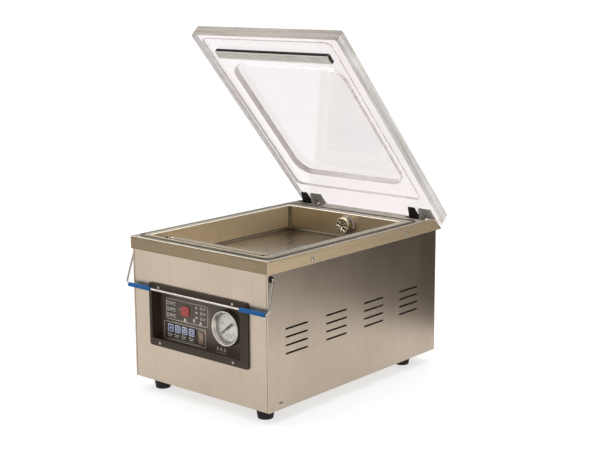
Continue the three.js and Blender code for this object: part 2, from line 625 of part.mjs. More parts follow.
// ---- inside the case ----
function makeInside() {
  const floor = FOOT_HEIGHT + SHEET + GAP;
  const motorY = 330;
  const motorZ = floor + 62;
  const motorBody = rod('x', -60, 110, motorY, motorZ, 52, 28);
  const motorFeet = block(-40, 90, motorY - 48, motorY + 48, floor, floor + 22);
  add('pump_motor', join(motorBody, motorFeet), motorPaint);
  const pumpHead = block(-128, -60 - GAP, motorY - 50, motorY + 50, floor, floor + 118);
  const inletStub = rod('z', floor + 117, floor + 126, -94, motorY, 9, 16);
  add('vacuum_pump', join(pumpHead, inletStub), aluminium);

  const core = block(62, 132, 110, 170, floor, floor + 62);
  const winding = block(70, 124, 98, 182, floor + 12, floor + 50);
  add('transformer', join(core, winding), copper);
  add('solenoid_valve', join(block(-130, -96, 190, 226, 150, 178), rod('z', 177, 205, -113, 208, 13, 18)),
    brass);
  add('control_board', block(-100, 20, 34, 35.6, 96, 180), boardGreen);

  const hoseCorners = [[PORT_X, CHAMBER_BACK + 3, PORT_Z], [PORT_X, 425, PORT_Z], [PORT_X, 425, 190],
    [-94, 425, 175], [-94, motorY, 175], [-94, motorY, floor + 127]]
    .map(([x, y, z]) => new THREE.Vector3(x, y, z));
  const path = new PointPath(roundedPath(hoseCorners, [16, 16, 16, 16], 4));
  add('vacuum_hose', bar(path, 7, path.points.length - 1, 8), blackRubber);
}

makeCase();
makeTopCover();
makeChamber();
makePort();
makeSealBar();
makeLid();
makeHinges();
makeBail();
makeControls();
makeInside();

export default machine;
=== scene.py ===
"""Looks for the table-top vacuum packing machine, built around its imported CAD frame."""

import json
import math

import bmesh
import bpy
from mathutils import Matrix, Vector

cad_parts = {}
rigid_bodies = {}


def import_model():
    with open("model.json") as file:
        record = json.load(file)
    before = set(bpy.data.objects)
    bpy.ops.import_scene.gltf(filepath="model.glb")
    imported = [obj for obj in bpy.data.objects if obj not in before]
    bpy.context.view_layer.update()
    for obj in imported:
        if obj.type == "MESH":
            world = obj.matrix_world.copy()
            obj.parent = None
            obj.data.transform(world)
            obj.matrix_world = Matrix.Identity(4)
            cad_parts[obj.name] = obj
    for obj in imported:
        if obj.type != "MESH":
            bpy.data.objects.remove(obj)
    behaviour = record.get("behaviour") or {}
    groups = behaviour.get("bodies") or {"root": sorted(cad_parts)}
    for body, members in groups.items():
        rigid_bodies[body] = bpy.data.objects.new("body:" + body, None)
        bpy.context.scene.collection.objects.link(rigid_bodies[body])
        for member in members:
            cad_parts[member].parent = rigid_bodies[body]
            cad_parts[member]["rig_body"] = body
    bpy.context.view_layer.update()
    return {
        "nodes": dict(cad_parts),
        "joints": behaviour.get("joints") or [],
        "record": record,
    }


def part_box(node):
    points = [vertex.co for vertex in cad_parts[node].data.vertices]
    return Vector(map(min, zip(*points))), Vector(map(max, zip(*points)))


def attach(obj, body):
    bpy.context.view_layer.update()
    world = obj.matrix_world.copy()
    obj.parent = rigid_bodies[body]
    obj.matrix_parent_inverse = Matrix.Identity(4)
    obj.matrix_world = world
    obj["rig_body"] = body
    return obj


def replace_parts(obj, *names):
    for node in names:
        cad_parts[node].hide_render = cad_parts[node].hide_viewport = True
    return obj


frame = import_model()
record = frame["record"]
slot_of = {entry["node"]: entry["material_slot"] for entry in record["subparts"]}
joints = {joint["name"]: joint for joint in frame["joints"]}

MM = 0.001
FRONT_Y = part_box("front_panel")[0].y  # the case's front face
SHARP = math.radians(28.0)  # edges bent more than this are rounded

# case mm: x from the middle, y from the front face, z from the table
CASE_BACK = 460.0
COVER_SIDE, COVER_TOP = 158.2, 271.4  # past these, an edge belongs to the cover's outer bends
MOUTH_SIDE, MOUTH_FRONT, MOUTH_REAR, MOUTH_TOP = 131.6, 17.4, 382.6, 272.9  # the chamber's mouth
DECK_LEVEL = 260.0  # faces above it belong to the chamber's flange
CHAMBER_FLOOR = 240.0  # faces below it belong to the chamber's floor
CHAMBER_REAR = 300.0  # faces behind it belong to the chamber's back
SEAM_TOP = 234.0
PORT_CENTRE = (10.0, 366.0, 252.0)
LID_SIDE, LID_FRONT, LID_REAR = 160.0, 8.0, 468.0  # the shut lid's outer edges lie past these
DOME_ROOF = 289.0
HINGE_X, TERMINAL_X, FOOT_X = 129, 111.4, 121
WIRE_RADIUS = 1.8
PLATE_FACE, KEY_FACE, DISPLAY_FACE, DIAL_FACE, NEEDLE_FACE = 20.0, 17.3, 18.2, 21.0, 19.4
DIAL_X, DIAL_Z = 50.0, 141.0
SCALE_START, SCALE_SWEEP = 225, 270  # degrees, anticlockwise from the right and clockwise from there


def at(x, y, z):
    """A point given in mm from the case's middle, its front face and the table."""
    return Vector((x * MM, FRONT_Y + y * MM, z * MM))


def case_mm(point):
    """The opposite of at: a point of the scene in case mm."""
    return Vector((point[0] / MM, (point[1] - FRONT_Y) / MM, point[2] / MM))


HINGE = Vector(joints["lid_hinge"]["pos_m"])
OPEN_ANGLE = math.radians(joints["lid_hinge"]["range_deg"][1])
# from the shut lid to the open lid of the rest pose
LID_OPEN = (Matrix.Translation(HINGE) @ Matrix.Rotation(-OPEN_ANGLE, 4, "X")
            @ Matrix.Translation(-HINGE))


# ---------------------------------------------------------------- materials
class Surface:
    """A Principled material whose colour, roughness and bump come from nodes."""

    def __init__(self, name, metallic=0.0, specular=0.5, **sockets):
        self.material = bpy.data.materials.new(name)
        self.material.use_nodes = True
        self.nodes = self.material.node_tree.nodes
        self.links = self.material.node_tree.links
        self.shader = self.nodes["Principled BSDF"]
        self.set("Metallic", metallic)
        self.set("Specular IOR Level", specular)
        for key, value in sockets.items():
            self.set(key.replace("_", " "), value)
        self.place = self.nodes.new("ShaderNodeTexCoord").outputs["Object"]

    def set(self, socket, value):
        self.shader.inputs[socket].default_value = value

    def link(self, source, target):
        self.links.new(source, target)

    def noise(self, stretch, detail=4.0, roughness=0.55, distortion=0.0):
        mapping = self.nodes.new("ShaderNodeMapping")
        mapping.inputs["Scale"].default_value = stretch
        self.link(self.place, mapping.inputs["Vector"])
        texture = self.nodes.new("ShaderNodeTexNoise")
        texture.inputs["Scale"].default_value = 1.0
        texture.inputs["Detail"].default_value = detail
        texture.inputs["Roughness"].default_value = roughness
        texture.inputs["Distortion"].default_value = distortion
        self.link(mapping.outputs["Vector"], texture.inputs["Vector"])
        return texture.outputs["Fac"]

    def ramp(self, value, low, high, out_low=0.0, out_high=1.0):
        node = self.nodes.new("ShaderNodeMapRange")
        for socket, number in zip(("From Min", "From Max", "To Min", "To Max"),
                                  (low, high, out_low, out_high)):
            node.inputs[socket].default_value = number
        self.link(value, node.inputs["Value"])
        return node.outputs["Result"]

    def mix(self, factor, a, b):
        node = self.nodes.new("ShaderNodeMix")
        node.data_type = "RGBA"
        if isinstance(factor, float):
            node.inputs["Factor"].default_value = factor
        else:
            self.link(factor, node.inputs["Factor"])
        for socket, value in (("A", a), ("B", b)):
            target = [s for s in node.inputs if s.name == socket and s.type == "RGBA"][0]
            if isinstance(value, tuple):
                target.default_value = (*value, 1.0)
            else:
                self.link(value, target)
        return [s for s in node.outputs if s.type == "RGBA"][0]

    def maths(self, operation, a, b):
        node = self.nodes.new("ShaderNodeMath")
        node.operation = operation
        for socket, value in zip(node.inputs, (a, b)):
            if isinstance(value, float):
                socket.default_value = value
            else:
                self.link(value, socket)
        return node.outputs["Value"]

    def worn_edge(self):
        """1 along outer edges, 0 on flat faces."""
        geometry = self.nodes.new("ShaderNodeNewGeometry")
        return self.ramp(geometry.outputs["Pointiness"], 0.52, 0.62)

    def colour(self, value):
        self.link(value, self.shader.inputs["Base Color"])

    def rough(self, value):
        self.link(value, self.shader.inputs["Roughness"])

    def bump(self, value, strength=0.2, distance=0.0002):
        node = self.nodes.new("ShaderNodeBump")
        node.inputs["Strength"].default_value = strength
        node.inputs["Distance"].default_value = distance
        self.link(value, node.inputs["Height"])
        self.link(node.outputs["Normal"], self.shader.inputs["Normal"])


def brushed(name, light, dark, grain, roughness=(0.3, 0.44), anisotropy=0.45, smudge=0.35, metallic=1.0,
            shade=None):
    """Brushed sheet: fine lines along the grain's long axis, broad streaks, faint smudges and, where asked,
    painted shade along y.
    """
    surface = Surface(name, metallic=metallic, Anisotropic=anisotropy)
    fine = surface.noise(tuple(60.0 if axis == "x" else 1800.0 for axis in grain), 3.0)
    streak = surface.noise(tuple(3.0 if axis == "x" else 110.0 for axis in grain), 5.0, 0.6)
    cloud = surface.noise((9.0, 9.0, 9.0), 4.0, 0.6, 0.4)
    base = surface.mix(surface.ramp(streak, 0.3, 0.7), dark, light)
    base = surface.mix(surface.ramp(fine, 0.3, 0.7, 0.0, 0.3), base, tuple(c * 0.8 for c in dark))
    base = surface.mix(surface.ramp(cloud, 0.45, 0.75, 0.0, smudge), base, tuple(c * 0.86 for c in dark))
    if shade:  # painted shade: darker from one y to another, in metres
        split = surface.nodes.new("ShaderNodeSeparateXYZ")
        surface.link(surface.place, split.inputs["Vector"])
        painted_shade_ramp = surface.ramp(split.outputs["Y"], shade[0], shade[1])
        base = surface.mix(painted_shade_ramp, base, tuple(c * shade[2] for c in dark))
    surface.colour(base)
    grainy = surface.ramp(fine, 0.25, 0.75, roughness[0], roughness[1])
    surface.rough(surface.maths("ADD", grainy, surface.ramp(cloud, 0.4, 0.8, 0.0, 0.08)))
    surface.bump(fine, 0.12, 0.00005)
    tangent = surface.nodes.new("ShaderNodeTangent")
    tangent.direction_type = "RADIAL"
    tangent.axis = "Z"
    surface.link(tangent.outputs["Tangent"], surface.shader.inputs["Tangent"])
    return surface.material


def polished(name, light, dark, roughness=(0.14, 0.28)):
    """Smooth bare metal with soft cloudy tarnish."""
    surface = Surface(name, metallic=1.0)
    cloud = surface.noise((60.0, 60.0, 60.0), 5.0)
    fine = surface.noise((900.0, 900.0, 900.0), 2.0)
    surface.colour(surface.mix(surface.ramp(cloud, 0.3, 0.7), dark, light))
    surface.rough(surface.ramp(cloud, 0.3, 0.75, roughness[0], roughness[1]))
    surface.bump(fine, 0.05, 0.00005)
    return surface.material


def satin(name, light, dark):
    """Zinc-plated pressed steel: dull, mottled and a little rough."""
    surface = Surface(name, metallic=0.3)
    cloud = surface.noise((110.0, 110.0, 110.0), 5.0, 0.65)
    fine = surface.noise((1200.0, 1200.0, 1200.0), 2.0)
    surface.colour(surface.mix(surface.ramp(cloud, 0.35, 0.65), dark, light))
    surface.rough(surface.ramp(cloud, 0.3, 0.75, 0.6, 0.42))
    surface.bump(fine, 0.1, 0.00005)
    return surface.material


def plastic(name, light, dark, roughness, specular=0.5, wear=0.25):
    """Moulded plastic: fine texture, slightly paler worn edges and a little dust."""
    surface = Surface(name, specular=specular)
    cloud = surface.noise((25.0, 25.0, 25.0), 4.0)
    fine = surface.noise((1400.0, 1400.0, 1400.0), 2.0)
    base = surface.mix(surface.ramp(cloud, 0.3, 0.7), dark, light)
    paler = tuple(min(1.0, c * 1.5 + 0.03) for c in light)
    base = surface.mix(surface.maths("MULTIPLY", surface.worn_edge(), wear), base, paler)
    surface.colour(base)
    surface.rough(surface.ramp(cloud, 0.3, 0.75, roughness[0], roughness[1]))
    surface.bump(fine, 0.12, 0.00008)
    return surface.material


def rubber(name, light, dark):
    """Dull rubber with a fine grain and settled dust."""
    surface = Surface(name, specular=0.3)
    fine = surface.noise((700.0, 700.0, 700.0), 4.0)
    dust = surface.noise((40.0, 40.0, 90.0), 5.0)
    surface.colour(surface.mix(surface.ramp(dust, 0.5, 0.8), dark, light))
    surface.rough(surface.ramp(dust, 0.3, 0.7, 0.68, 0.88))
    surface.bump(fine, 0.3, 0.0001)
    return surface.material


def woven(name, light, dark, pitch):
    """Coated glass cloth: a fine plain weave under a satin coat."""
    surface = Surface(name, specular=0.4)
    waves = []
    for direction in ("X", "Y"):
        wave = surface.nodes.new("ShaderNodeTexWave")
        wave.bands_direction = direction
        wave.inputs["Scale"].default_value = math.tau / (20 * pitch)
        wave.inputs["Distortion"].default_value = 0.4
        surface.link(surface.place, wave.inputs["Vector"])
        waves.append(wave.outputs["Fac"])
    weave = surface.maths("MULTIPLY", waves[0], waves[1])
    stain = surface.noise((35.0, 90.0, 90.0), 4.0)
    base = surface.mix(surface.ramp(weave, 0.0, 0.8), dark, light)
    base = surface.mix(surface.ramp(stain, 0.45, 0.75, 0.0, 0.5), base, tuple(c * 0.7 for c in dark))
    surface.colour(base)
    surface.rough(surface.ramp(stain, 0.3, 0.7, 0.4, 0.6))
    surface.bump(weave, 0.3, 0.0001)
    return surface.material


def clear_sheet(name, tint, roughness):
    """Clear cast acrylic with very faint haze and wipe marks."""
    surface = Surface(name, Transmission_Weight=1.0, IOR=1.3)
    wipe = surface.noise((8.0, 30.0, 30.0), 4.0, 0.6, 0.8)
    surface.colour(surface.mix(surface.ramp(wipe, 0.3, 0.8), tint, tuple(c * 0.97 for c in tint)))
    surface.rough(surface.ramp(wipe, 0.35, 0.8, roughness[0], roughness[1]))
    return surface.material


def frosted_edge(name, light, dark, transmission=0.35):
    """Sawn and flame-dulled acrylic edge: milky, with saw lines and soft bands along the lid."""
    surface = Surface(name, Transmission_Weight=transmission, IOR=1.45)
    turn = surface.nodes.new("ShaderNodeMapping")  # the bands lie along the tilted lid
    turn.inputs["Rotation"].default_value = (OPEN_ANGLE, 0.0, 0.0)
    surface.link(surface.place, turn.inputs["Vector"])
    surface.place = turn.outputs["Vector"]
    saw = surface.noise((260.0, 260.0, 30.0), 4.0)
    cloud = surface.noise((5.0, 5.0, 150.0), 5.0, 0.6, 0.3)
    base = surface.mix(surface.ramp(cloud, 0.36, 0.62), dark, light)
    base = surface.mix(surface.ramp(saw, 0.45, 0.75, 0.0, 0.35), base, tuple(c * 0.75 for c in dark))
    surface.colour(base)
    surface.rough(surface.ramp(saw, 0.3, 0.7, 0.35, 0.6))
    surface.bump(saw, 0.15, 0.0001)
    return surface.material


def painted(name, light, dark):
    """Sprayed paint with a slight orange peel."""
    surface = Surface(name, specular=0.5)
    cloud = surface.noise((30.0, 30.0, 30.0), 5.0)
    peel = surface.noise((350.0, 350.0, 350.0), 3.0)
    surface.colour(surface.mix(surface.ramp(cloud, 0.35, 0.7), dark, light))
    surface.rough(surface.ramp(cloud, 0.3, 0.7, 0.4, 0.55))
    surface.bump(peel, 0.12, 0.0001)
    return surface.material


def glowing(name, light, dark):
    """A lit display behind a tinted window."""
    surface = Surface(name, specular=0.5, Emission_Strength=0.35)
    cloud = surface.noise((120.0, 120.0, 120.0), 2.0)
    tone = surface.mix(surface.ramp(cloud, 0.3, 0.7), dark, light)
    surface.colour(tone)
    surface.link(tone, surface.shader.inputs["Emission Color"])
    surface.rough(surface.ramp(cloud, 0.3, 0.7, 0.2, 0.3))
    return surface.material


MATERIALS = {}


def finish(kind, name, *look, **more):
    """Adds a material of one kind to the list."""
    MATERIALS[name] = kind(name, *look, **more)


finish(brushed, "case_steel", (0.545, 0.462, 0.375), (0.51, 0.428, 0.342), "yyx")
finish(brushed, "cover_steel", (0.80, 0.655, 0.45), (0.73, 0.585, 0.39), "xxy", (0.52, 0.66))
# painted shade: a darker, greyer copy of the cover steel for faces that look up
finish(brushed, "cover_top_steel", (0.35, 0.33, 0.265), (0.295, 0.275, 0.22), "xxy")
# painted highlight: pale bright steel for the rounded bends
finish(polished, "bend_steel", (1.0, 0.93, 0.80), (0.92, 0.84, 0.70), (0.4, 0.55))
# painted shade: a darker copy of the cover steel for the faces that look forward
finish(brushed, "cover_front_steel", (0.285, 0.22, 0.145), (0.25, 0.19, 0.12), "xyy")
finish(brushed, "chamber_steel", (0.98, 0.83, 0.56), (0.90, 0.75, 0.51), "xyy", (0.42, 0.56),
       0.2, metallic=0.8)
# painted shade: a darker copy of the chamber steel for the rear wall
finish(brushed, "chamber_back_steel", (0.62, 0.52, 0.37), (0.53, 0.44, 0.32), "xyy", (0.3, 0.44), 0.2)
# painted shade: dark steel for the tight bends at the foot of the chamber's walls
finish(polished, "seam_steel", (0.20, 0.165, 0.12), (0.15, 0.12, 0.088), (0.45, 0.6))
# painted shade: dark steel for the rounded rear corners of the chamber
finish(polished, "corner_steel", (0.34, 0.285, 0.205), (0.24, 0.20, 0.145), (0.35, 0.5))
finish(rubber, "gasket_grey", (0.135, 0.115, 0.09), (0.085, 0.072, 0.058))
# painted shade: a darker copy of the chamber steel for the floor, darkening further towards the rear wall
finish(brushed, "chamber_floor_steel", (0.56, 0.49, 0.40), (0.48, 0.42, 0.34), "yxy", (0.18, 0.3),
       0.2, 0.6, shade=(FRONT_Y + 0.13, FRONT_Y + 0.36, 0.12))
finish(satin, "hinge_steel", (0.72, 0.70, 0.66), (0.50, 0.48, 0.44))
finish(polished, "bail_steel", (0.60, 0.57, 0.52), (0.42, 0.39, 0.35))
finish(satin, "zinc_steel", (0.66, 0.64, 0.60), (0.36, 0.335, 0.30))
finish(polished, "port_steel", (0.80, 0.70, 0.54), (0.50, 0.43, 0.32), (0.26, 0.4))
finish(polished, "bright_steel", (0.78, 0.75, 0.70), (0.62, 0.59, 0.54))
finish(polished, "gauge_steel", (0.58, 0.55, 0.50), (0.46, 0.43, 0.38), (0.2, 0.34))
finish(brushed, "aluminium", (0.62, 0.60, 0.56), (0.52, 0.50, 0.46), "xyy", (0.35, 0.5), 0.3)
finish(rubber, "black_rubber", (0.035, 0.032, 0.030), (0.012, 0.011, 0.011))
finish(plastic, "black_plastic", (0.040, 0.026, 0.0165), (0.027, 0.0175, 0.011), (0.46, 0.6), specular=0.22)
finish(plastic, "panel_plastic", (0.088, 0.066, 0.045), (0.060, 0.045, 0.031), (0.36, 0.5), specular=0.35)
finish(plastic, "panel_print", (0.46, 0.42, 0.36), (0.34, 0.31, 0.26), (0.4, 0.5), wear=0.0)
finish(plastic, "white_print", (0.82, 0.80, 0.75), (0.62, 0.60, 0.56), (0.4, 0.5), wear=0.0)
finish(plastic, "mark_grey", (0.16, 0.15, 0.14), (0.09, 0.085, 0.08), (0.45, 0.6), wear=0.0)
finish(plastic, "dial_ink", (0.06, 0.055, 0.05), (0.03, 0.03, 0.028), (0.45, 0.6), wear=0.0)
finish(plastic, "key_ink", (0.78, 0.82, 0.90), (0.62, 0.68, 0.80), (0.4, 0.5), wear=0.0)
finish(rubber, "silicone", (0.15, 0.13, 0.11), (0.085, 0.075, 0.065))
finish(plastic, "bar_grey", (0.66, 0.63, 0.59), (0.52, 0.49, 0.455), (0.5, 0.65), wear=0.1)
finish(rubber, "pale_silicone", (0.62, 0.60, 0.57), (0.48, 0.46, 0.43))
finish(polished, "heating_strip", (0.62, 0.52, 0.38), (0.42, 0.34, 0.24), (0.3, 0.45))
finish(woven, "seal_cloth", (0.28, 0.235, 0.165), (0.20, 0.165, 0.115), 0.0007)
finish(clear_sheet, "clear_acrylic", (0.875, 0.828, 0.836), (0.03, 0.12))
# painted shade: a darker tint of the clear acrylic for the lid's roof panel
finish(clear_sheet, "acrylic_panel", (0.80, 0.762, 0.77), (0.03, 0.12))
finish(frosted_edge, "acrylic_step", (0.86, 0.83, 0.81), (0.62, 0.57, 0.53), 0.8)
finish(frosted_edge, "acrylic_edge", (1.0, 0.985, 0.97), (0.60, 0.54, 0.49))
# painted shade: a darker copy of the lid's milky edge for the edge that faces forward
finish(frosted_edge, "acrylic_front_edge", (0.38, 0.345, 0.305), (0.25, 0.215, 0.18))
finish(clear_sheet, "clear_glass", (0.98, 0.99, 0.99), (0.02, 0.06))
finish(plastic, "blue_plastic", (0.008, 0.088, 0.265), (0.006, 0.068, 0.21), (0.45, 0.58), specular=0.12)
finish(plastic, "key_blue", (0.05, 0.07, 0.19), (0.035, 0.05, 0.14), (0.4, 0.5), specular=0.3)
finish(plastic, "key_orange", (0.27, 0.165, 0.10), (0.19, 0.115, 0.068), (0.4, 0.5), specular=0.3)
finish(glowing, "display_red", (0.235, 0.022, 0.020), (0.17, 0.015, 0.014))
finish(glowing, "digit_red", (0.50, 0.10, 0.09), (0.42, 0.07, 0.065))
finish(painted, "dial_white", (0.90, 0.84, 0.77), (0.80, 0.74, 0.67))
finish(painted, "board_green", (0.02, 0.09, 0.03), (0.015, 0.06, 0.02))
finish(painted, "motor_paint", (0.06, 0.08, 0.10), (0.045, 0.06, 0.075))
finish(polished, "transformer_copper", (0.55, 0.26, 0.14), (0.38, 0.18, 0.10), (0.35, 0.5))
finish(polished, "brass", (0.70, 0.50, 0.22), (0.52, 0.37, 0.15), (0.25, 0.4))


# ---------------------------------------------------------------- building pieces
def new_object(name, mesh, body, material):
    """Links a mesh as a piece that rides on a body, in one material."""
    piece = bpy.data.objects.new(name, mesh)
    bpy.context.scene.collection.objects.link(piece)
    mesh.materials.clear()
    mesh.materials.append(MATERIALS[material])
    mesh.polygons.foreach_set("use_smooth", [True] * len(mesh.polygons))
    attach(piece, body)
    return piece


def soften(piece, width, segments=2):
    """Rounds the piece's edges by a width in mm and keeps its flat faces flat."""
    bevel = piece.modifiers.new("edges", "BEVEL")
    bevel.width = width * MM
    bevel.segments = segments
    bevel.limit_method = "ANGLE"
    bevel.angle_limit = SHARP
    bevel.use_clamp_overlap = True
    bevel.miter_outer = "MITER_ARC"
    normals = piece.modifiers.new("normals", "WEIGHTED_NORMAL")
    normals.keep_sharp = True
    return piece


def clean_copy(node):
    """The CAD node's mesh with split vertices joined and flat triangles paired into quads."""
    mesh = frame["nodes"][node].data.copy()
    shape = bmesh.new()
    shape.from_mesh(mesh)
    bmesh.ops.remove_doubles(shape, verts=shape.verts, dist=2e-6)
    bmesh.ops.join_triangles(shape, faces=shape.faces, angle_face_threshold=math.radians(0.6),
                             angle_shape_threshold=math.radians(180))
    bmesh.ops.recalc_face_normals(shape, faces=shape.faces)
    shape.to_mesh(mesh)
    shape.free()
    for attribute in ("custom_normal", "sharp_face"):
        if attribute in mesh.attributes:
            mesh.attributes.remove(mesh.attributes[attribute])
    mesh.name = node + "_fine"
    return mesh


def refine(node, width, material=None, segments=2):
    """A finer copy of a CAD node, with rounded edges, shown in its place."""
    body = frame["nodes"][node]["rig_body"]
    piece = new_object(node + "_fine", clean_copy(node), body, material or slot_of[node])
    soften(piece, width, segments)
    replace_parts(piece, node)
    return piece


def from_bmesh(name, shape, body, material, matrix=None):
    """Makes a piece of a bmesh and frees it."""
    mesh = bpy.data.meshes.new(name)
    if matrix is not None:
        bmesh.ops.transform(shape, matrix=matrix, verts=shape.verts)
    bmesh.ops.recalc_face_normals(shape, faces=shape.faces)
    shape.to_mesh(mesh)
    shape.free()
    return new_object(name, mesh, body, material)


def box_piece(name, low, high, body, material, round_by, matrix=None):
    """A block between two corners in case mm, with rounded edges."""
    shape = bmesh.new()
    bmesh.ops.create_cube(shape, size=1.0)
    low, high = at(*low), at(*high)
    for vertex in shape.verts:
        vertex.co = Vector(low[i] + (vertex.co[i] + 0.5) * (high[i] - low[i]) for i in range(3))
    return soften(from_bmesh(name, shape, body, material, matrix), round_by)


def standing(centre, axis, matrix=None):
    """Puts a shape built along z at a point in case mm, along an axis, then moves it by a matrix."""
    turn = Vector((0, 0, 1)).rotation_difference(Vector(axis)).to_matrix().to_4x4()
    place = Matrix.Translation(at(*centre)) @ turn
    return place if matrix is None else matrix @ place


def turned(name, profile, centre, axis, body, material, segments, matrix=None):
    """A profile of (radius, height) in mm turned about an axis through a point in case mm."""
    shape = bmesh.new()
    rings = []
    for radius, height in profile:
        if radius < 1e-6:
            rings.append([shape.verts.new((0, 0, height * MM))])
            continue
        rings.append([shape.verts.new((radius * MM * math.cos(math.tau * i / segments),
                                       radius * MM * math.sin(math.tau * i / segments), height * MM))
                      for i in range(segments)])
    for lower, upper in zip(rings, rings[1:]):
        for i in range(segments):
            j = (i + 1) % segments
            corners = [lower[i % len(lower)], lower[j % len(lower)],
                       upper[j % len(upper)], upper[i % len(upper)]]
            unique = list(dict.fromkeys(corners))
            if len(unique) > 2:
                shape.faces.new(unique)
    return from_bmesh(name, shape, body, material, standing(centre, axis, matrix))


def swept(name, points, radius, body, material):
    """A round bar along points in case mm."""
    curve = bpy.data.curves.new(name, "CURVE")
    curve.dimensions = "3D"
    curve.bevel_depth = radius * MM
    curve.bevel_resolution = 5
    curve.use_fill_caps = True
    spline = curve.splines.new("POLY")
    spline.points.add(len(points) - 1)
    for target, point in zip(spline.points, points):
        target.co = (*at(*point), 1.0)
    holder = bpy.data.objects.new(name + "_path", curve)
    bpy.context.scene.collection.objects.link(holder)
    depsgraph = bpy.context.evaluated_depsgraph_get()
    mesh = bpy.data.meshes.new_from_object(holder.evaluated_get(depsgraph))
    mesh.name = name
    bpy.data.objects.remove(holder)
    return new_object(name, mesh, body, material)


def rounded_corner(before, corner, after, radius):
    """Points of an arc that rounds one corner of a path."""
    steps = 10
    before, corner, after = Vector(before), Vector(corner), Vector(after)
    inward = (before - corner).normalized()
    outward = (after - corner).normalized()
    reach = radius / math.tan(inward.angle(outward) / 2)
    start = corner + inward * reach
    end = corner + outward * reach
    middle = (start + end) / 2
    centre = corner + (middle - corner).normalized() * (radius / math.sin(inward.angle(outward) / 2))
    directions = [(start - centre).slerp(end - centre, i / steps) for i in range(steps + 1)]
    return [tuple(centre + direction.normalized() * radius) for direction in directions]


def screw(name, centre, axis, body, radius, height, material="bright_steel", matrix=None):
    """A pan-head screw with a cross recess; centre is where the head meets the sheet."""
    profile = [(radius * 0.98, 0.0), (radius, 0.25)]
    for i in range(1, 6):
        angle = i / 5 * math.pi / 2
        profile.append((radius * math.cos(angle) * 0.999, 0.25 + (height - 0.25) * math.sin(angle)))
    profile[-1] = (0.0, height)
    piece = turned(name, profile, centre, axis, body, material, 24, matrix)
    recess = bmesh.new()
    arm, half, depth = radius * 0.62 * MM, radius * 0.13 * MM, height * 0.5 * MM
    for x, y in ((arm, half), (half, arm)):
        for vertex in bmesh.ops.create_cube(recess, size=1.0)["verts"]:
            vertex.co = Vector((vertex.co.x * 2 * x, vertex.co.y * 2 * y,
                                height * MM + vertex.co.z * 2 * depth))
    bmesh.ops.transform(recess, matrix=standing(centre, axis, matrix), verts=recess.verts)
    cut_out(piece, recess)


def cut_out(piece, shape):
    """Cuts a bmesh out of a piece and frees it."""
    mesh = bpy.data.meshes.new(piece.name + "_cut")
    shape.to_mesh(mesh)
    shape.free()
    cutter = bpy.data.objects.new(piece.name + "_cut", mesh)
    bpy.context.scene.collection.objects.link(cutter)
    modifier = piece.modifiers.new("cut", "BOOLEAN")
    modifier.object = cutter
    modifier.operation = "DIFFERENCE"
    modifier.use_self = True
    depsgraph = bpy.context.evaluated_depsgraph_get()
    made = bpy.data.meshes.new_from_object(piece.evaluated_get(depsgraph))
    piece.modifiers.remove(modifier)
    old = piece.data
    piece.data = made
    bpy.data.meshes.remove(old)
    bpy.data.objects.remove(cutter)


# ---------------------------------------------------------------- printed marks
class Print:
    """Thin raised marks on a face that looks forward; x and z in case mm."""

    def __init__(self, name, face_y, material, body="case", high=0.15):
        self.name, self.material, self.body = name, material, body
        self.front, self.back = face_y - high, face_y + 0.1
        self.shape = bmesh.new()

    def loops(self, *outlines):
        """The outlines' vertices at the front and at the back."""
        return [[[self.shape.verts.new(at(x, y, z)) for x, z in outline] for outline in outlines]
                for y in (self.front, self.back)]

    def walls(self, front, back):
        for i in range(len(front)):
            j = (i + 1) % len(front)
            self.shape.faces.new((front[i], front[j], back[j], back[i]))

    def area(self, outline):
        (front,), (back,) = self.loops(outline)
        self.shape.faces.new(front)
        self.shape.faces.new(list(reversed(back)))
        self.walls(front, back)

    def band(self, outer, inner):
        front, back = self.loops(outer, inner)
        for around, within in (front, back):
            for i in range(len(outer)):
                j = (i + 1) % len(outer)
                self.shape.faces.new((around[i], around[j], within[j], within[i]))
        self.walls(front[0], back[0])
        self.walls(front[1], back[1])

    def bar(self, x0, x1, z0, z1):
        self.area([(x0, z0), (x1, z0), (x1, z1), (x0, z1)])

    def line(self, start, end, width):
        (x0, z0), (x1, z1) = start, end
        long = math.hypot(x1 - x0, z1 - z0)
        side_x, side_z = -(z1 - z0) / long * width / 2, (x1 - x0) / long * width / 2
        self.area([(x0 + side_x, z0 + side_z), (x1 + side_x, z1 + side_z),
                   (x1 - side_x, z1 - side_z), (x0 - side_x, z0 - side_z)])

    def dot(self, x, z, radius, sides):
        self.area(circle(x, z, radius, sides))

    def ring(self, x, z, radius, width):
        self.band(circle(x, z, radius, 24), circle(x, z, radius - width, 24))

    def frame(self, x0, x1, z0, z1, radius, width):
        self.band(rounded_box(x0, x1, z0, z1, radius),
                  rounded_box(x0 + width, x1 - width, z0 + width, z1 - width, max(0.2, radius - width)))

    def digit(self, x, z, wide, high, strokes, width):
        """A seven-segment figure; strokes are picked from 'abcdefg'."""
        ends = {"a": ((0, 2), (1, 2)), "b": ((1, 1), (1, 2)), "c": ((1, 0), (1, 1)), "d": ((0, 0), (1, 0)),
                "e": ((0, 0), (0, 1)), "f": ((0, 1), (0, 2)), "g": ((0, 1), (1, 1))}
        for stroke in strokes:
            (x0, z0), (x1, z1) = ends[stroke]
            start = Vector((x + x0 * wide, z + z0 * high / 2))
            end = Vector((x + x1 * wide, z + z1 * high / 2))
            inset = (end - start).normalized() * width * 0.6
            self.line(tuple(start + inset), tuple(end - inset), width)

    def done(self):
        return from_bmesh(self.name, self.shape, self.body, self.material)


def circle(x, z, radius, sides):
    return [(x + radius * math.cos(math.tau * i / sides), z + radius * math.sin(math.tau * i / sides))
            for i in range(sides)]


